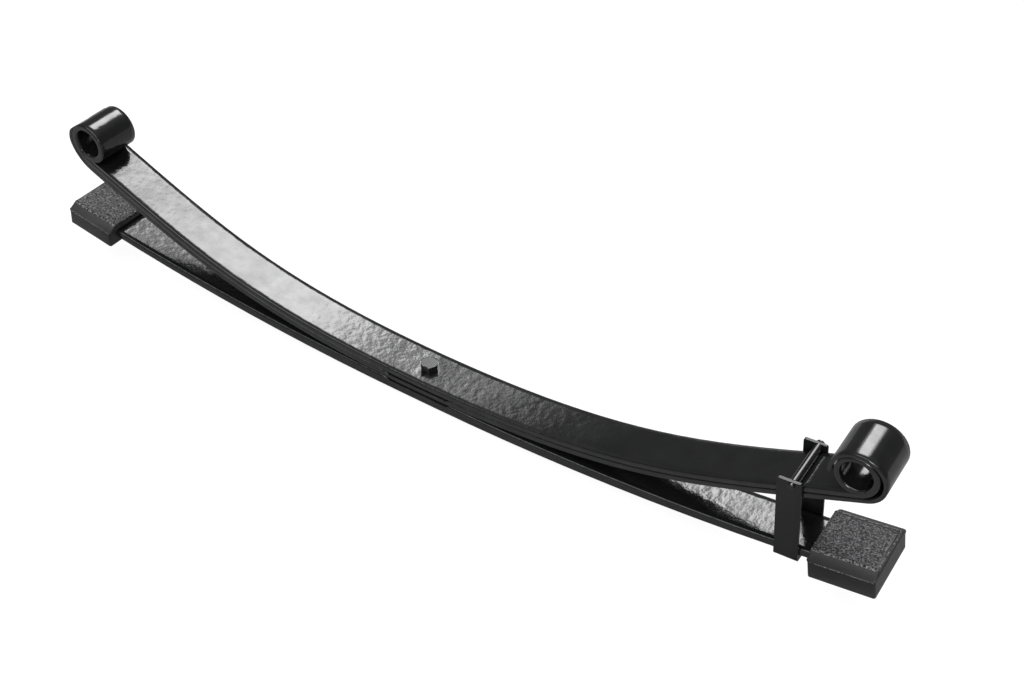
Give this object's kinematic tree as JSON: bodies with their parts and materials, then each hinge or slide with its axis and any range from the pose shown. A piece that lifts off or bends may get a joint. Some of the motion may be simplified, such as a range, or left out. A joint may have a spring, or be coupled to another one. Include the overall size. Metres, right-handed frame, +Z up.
{
  "type": "leaf spring",
  "caption": "Long curved automotive leaf spring: main leaf with rolled eyes, wrapped second leaf, helper leaf with end pads and a riveted rebound clip.",
  "frame": {"origin": "centre bolt axis at the flat seat under the helper leaf", "axes": "+X along the spring towards the wrapped eye, +Y across it, +Z up from the axle seat towards the eyes"},
  "size_m": [1.3828, 0.1004, 0.2629],
  "materials": {
    "leaf_steel": "gloss",
    "fastener_steel": "gloss",
    "clip_steel": "satin",
    "pad_rubber": "matte"
  },
  "bodies": {
    "spring": {"main_leaf": "leaf_steel", "second_leaf": "leaf_steel", "helper_leaf": "leaf_steel", "centre_bolt": "fastener_steel", "centre_nut": "fastener_steel", "lower_spacer": "clip_steel", "upper_spacer": "clip_steel", "right_pad": "pad_rubber", "left_pad": "pad_rubber", "clip_strap": "clip_steel", "clip_pin": "fastener_steel", "clip_rivet": "fastener_steel"},
    "clip_roller": {"clip_tube": "clip_steel"}
  },
  "joints": [
    {"name": "clip_tube_spin", "type": "hinge", "parent": "spring", "child": "clip_roller", "pos_m": [0.56948, 0, 0.1685], "axis": [0, 1, 0], "continuous": true}
  ]
}
